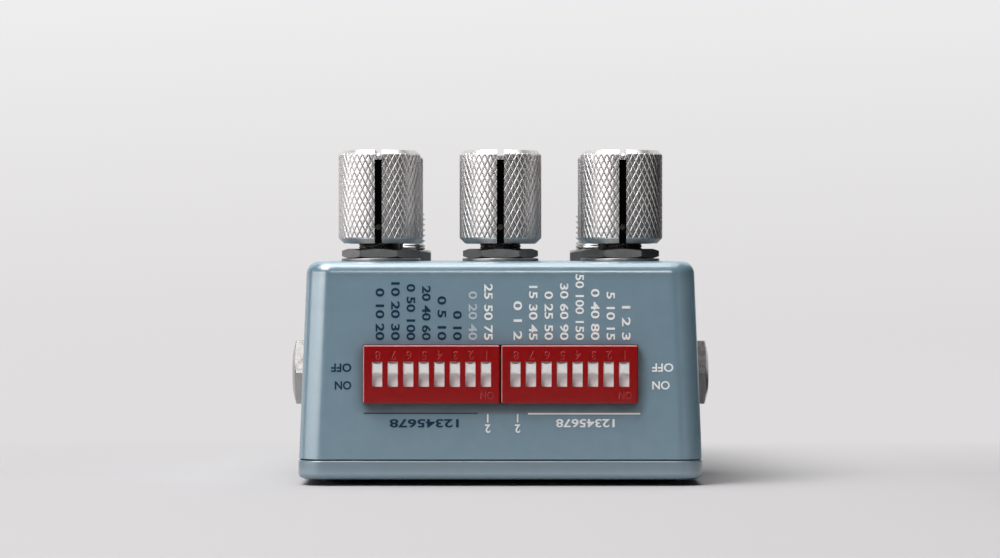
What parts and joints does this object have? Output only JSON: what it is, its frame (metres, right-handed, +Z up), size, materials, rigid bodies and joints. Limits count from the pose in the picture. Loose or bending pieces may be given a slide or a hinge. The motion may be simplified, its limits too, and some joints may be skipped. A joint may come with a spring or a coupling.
{
  "type": "guitar effects pedal",
  "caption": "Stompbox in a drafted die-cast box: knurled knobs, toggles and foot switches on top, red slide switch banks in the rear wall, jacks at the sides.",
  "frame": {"origin": "middle of the footprint, at the underside of the rubber feet", "axes": "+Z up from the table, +Y from the switch banks towards the foot switches, +X towards the output jack and the power inlet"},
  "size_m": [0.0716, 0.1222, 0.0553],
  "materials": {
    "blue_coat": "satin powder coat",
    "zinc_steel": "zinc plated",
    "black_rubber": "matt",
    "red_moulding": "satin moulding",
    "white_moulding": "satin moulding",
    "dark_nickel": "dark nickel plate",
    "bright_aluminium": "bright, diamond knurled",
    "chrome": "mirror",
    "jack_nickel": "nickel plate",
    "clear_lens": "water clear lens",
    "black_moulding": "satin moulding",
    "board_laminate": "green solder mask"
  },
  "bodies": {
    "housing": {"enclosure_shell": "blue_coat", "base_plate": "blue_coat", "lid_screw_rear_left": "zinc_steel", "rubber_foot_rear_left": "black_rubber", "lid_screw_rear_right": "zinc_steel", "rubber_foot_rear_right": "black_rubber", "lid_screw_front_left": "zinc_steel", "rubber_foot_front_left": "black_rubber", "lid_screw_front_right": "zinc_steel", "rubber_foot_front_right": "black_rubber", "switch_bank_left": "red_moulding", "switch_bank_right": "red_moulding", "potentiometer_rear_left": "dark_nickel", "potentiometer_rear_middle": "dark_nickel", "potentiometer_rear_right": "dark_nickel", "potentiometer_front_left": "dark_nickel", "potentiometer_front_middle": "dark_nickel", "potentiometer_front_right": "dark_nickel", "toggle_switch_left": "dark_nickel", "toggle_switch_middle": "dark_nickel", "toggle_switch_right": "dark_nickel", "foot_switch_left": "jack_nickel", "lamp_left": "clear_lens", "foot_switch_right": "jack_nickel", "lamp_right": "clear_lens", "input_jack": "black_moulding", "input_jack_nut": "jack_nickel", "output_jack": "black_moulding", "output_jack_nut": "jack_nickel", "power_inlet": "black_moulding", "main_board": "board_laminate", "switch_board": "board_laminate"},
    "knob_rear_left": {"knob_rear_left": "bright_aluminium"},
    "knob_rear_middle": {"knob_rear_middle": "bright_aluminium"},
    "knob_rear_right": {"knob_rear_right": "bright_aluminium"},
    "knob_front_left": {"knob_front_left": "bright_aluminium"},
    "knob_front_middle": {"knob_front_middle": "bright_aluminium"},
    "knob_front_right": {"knob_front_right": "bright_aluminium"},
    "slider_left_8": {"slider_left_8": "white_moulding"},
    "slider_left_7": {"slider_left_7": "white_moulding"},
    "slider_left_6": {"slider_left_6": "white_moulding"},
    "slider_left_5": {"slider_left_5": "white_moulding"},
    "slider_left_4": {"slider_left_4": "white_moulding"},
    "slider_left_3": {"slider_left_3": "white_moulding"},
    "slider_left_2": {"slider_left_2": "white_moulding"},
    "slider_left_1": {"slider_left_1": "white_moulding"},
    "slider_right_8": {"slider_right_8": "white_moulding"},
    "slider_right_7": {"slider_right_7": "white_moulding"},
    "slider_right_6": {"slider_right_6": "white_moulding"},
    "slider_right_5": {"slider_right_5": "white_moulding"},
    "slider_right_4": {"slider_right_4": "white_moulding"},
    "slider_right_3": {"slider_right_3": "white_moulding"},
    "slider_right_2": {"slider_right_2": "white_moulding"},
    "slider_right_1": {"slider_right_1": "white_moulding"},
    "toggle_lever_left": {"toggle_lever_left": "chrome"},
    "toggle_lever_middle": {"toggle_lever_middle": "chrome"},
    "toggle_lever_right": {"toggle_lever_right": "chrome"},
    "foot_button_left": {"foot_button_left": "chrome"},
    "foot_button_right": {"foot_button_right": "chrome"}
  },
  "joints": [
    {"name": "knob_rear_left_turn", "type": "hinge", "parent": "housing", "child": "knob_rear_left", "pos_m": [-0.0203, -0.04403, 0.0368], "axis": [0, 0, 1], "range_deg": [-150, 150]},
    {"name": "knob_rear_middle_turn", "type": "hinge", "parent": "housing", "child": "knob_rear_middle", "pos_m": [0, -0.04403, 0.0368], "axis": [0, 0, 1], "range_deg": [-150, 150]},
    {"name": "knob_rear_right_turn", "type": "hinge", "parent": "housing", "child": "knob_rear_right", "pos_m": [0.0203, -0.04403, 0.0368], "axis": [0, 0, 1], "range_deg": [-150, 150]},
    {"name": "knob_front_left_turn", "type": "hinge", "parent": "housing", "child": "knob_front_left", "pos_m": [-0.0203, -0.01903, 0.0368], "axis": [0, 0, 1], "range_deg": [-150, 150]},
    {"name": "knob_front_middle_turn", "type": "hinge", "parent": "housing", "child": "knob_front_middle", "pos_m": [0, -0.01903, 0.0368], "axis": [0, 0, 1], "range_deg": [-150, 150]},
    {"name": "knob_front_right_turn", "type": "hinge", "parent": "housing", "child": "knob_front_right", "pos_m": [0.0203, -0.01903, 0.0368], "axis": [0, 0, 1], "range_deg": [-150, 150]},
    {"name": "slider_left_8_slide", "type": "slide", "parent": "housing", "child": "slider_left_8", "axis": [0, 0, -1], "range_m": [0, 0.002]},
    {"name": "slider_left_7_slide", "type": "slide", "parent": "housing", "child": "slider_left_7", "axis": [0, 0, -1], "range_m": [0, 0.002]},
    {"name": "slider_left_6_slide", "type": "slide", "parent": "housing", "child": "slider_left_6", "axis": [0, 0, -1], "range_m": [0, 0.002]},
    {"name": "slider_left_5_slide", "type": "slide", "parent": "housing", "child": "slider_left_5", "axis": [0, 0, -1], "range_m": [0, 0.002]},
    {"name": "slider_left_4_slide", "type": "slide", "parent": "housing", "child": "slider_left_4", "axis": [0, 0, -1], "range_m": [0, 0.002]},
    {"name": "slider_left_3_slide", "type": "slide", "parent": "housing", "child": "slider_left_3", "axis": [0, 0, -1], "range_m": [0, 0.002]},
    {"name": "slider_left_2_slide", "type": "slide", "parent": "housing", "child": "slider_left_2", "axis": [0, 0, -1], "range_m": [0, 0.002]},
    {"name": "slider_left_1_slide", "type": "slide", "parent": "housing", "child": "slider_left_1", "axis": [0, 0, -1], "range_m": [0, 0.002]},
    {"name": "slider_right_8_slide", "type": "slide", "parent": "housing", "child": "slider_right_8", "axis": [0, 0, -1], "range_m": [0, 0.002]},
    {"name": "slider_right_7_slide", "type": "slide", "parent": "housing", "child": "slider_right_7", "axis": [0, 0, -1], "range_m": [0, 0.002]},
    {"name": "slider_right_6_slide", "type": "slide", "parent": "housing", "child": "slider_right_6", "axis": [0, 0, -1], "range_m": [0, 0.002]},
    {"name": "slider_right_5_slide", "type": "slide", "parent": "housing", "child": "slider_right_5", "axis": [0, 0, -1], "range_m": [0, 0.002]},
    {"name": "slider_right_4_slide", "type": "slide", "parent": "housing", "child": "slider_right_4", "axis": [0, 0, -1], "range_m": [0, 0.002]},
    {"name": "slider_right_3_slide", "type": "slide", "parent": "housing", "child": "slider_right_3", "axis": [0, 0, -1], "range_m": [0, 0.002]},
    {"name": "slider_right_2_slide", "type": "slide", "parent": "housing", "child": "slider_right_2", "axis": [0, 0, -1], "range_m": [0, 0.002]},
    {"name": "slider_right_1_slide", "type": "slide", "parent": "housing", "child": "slider_right_1", "axis": [0, 0, -1], "range_m": [0, 0.002]},
    {"name": "toggle_lever_left_tilt", "type": "hinge", "parent": "housing", "child": "toggle_lever_left", "pos_m": [-0.0165, -0.00153, 0.03765], "axis": [0, 1, 0], "range_deg": [-12, 12]},
    {"name": "toggle_lever_middle_tilt", "type": "hinge", "parent": "housing", "child": "toggle_lever_middle", "pos_m": [0, -0.00153, 0.03765], "axis": [0, 1, 0], "range_deg": [-12, 12]},
    {"name": "toggle_lever_right_tilt", "type": "hinge", "parent": "housing", "child": "toggle_lever_right", "pos_m": [0.0165, -0.00153, 0.03765], "axis": [0, 1, 0], "range_deg": [-12, 12]},
    {"name": "foot_button_left_press", "type": "slide", "parent": "housing", "child": "foot_button_left", "axis": [0, 0, -1], "range_m": [0, 0.002], "stiffness_N_per_m": 800, "springref_m": -0.0015},
    {"name": "foot_button_right_press", "type": "slide", "parent": "housing", "child": "foot_button_right", "axis": [0, 0, -1], "range_m": [0, 0.002], "stiffness_N_per_m": 800, "springref_m": -0.0015}
  ]
}
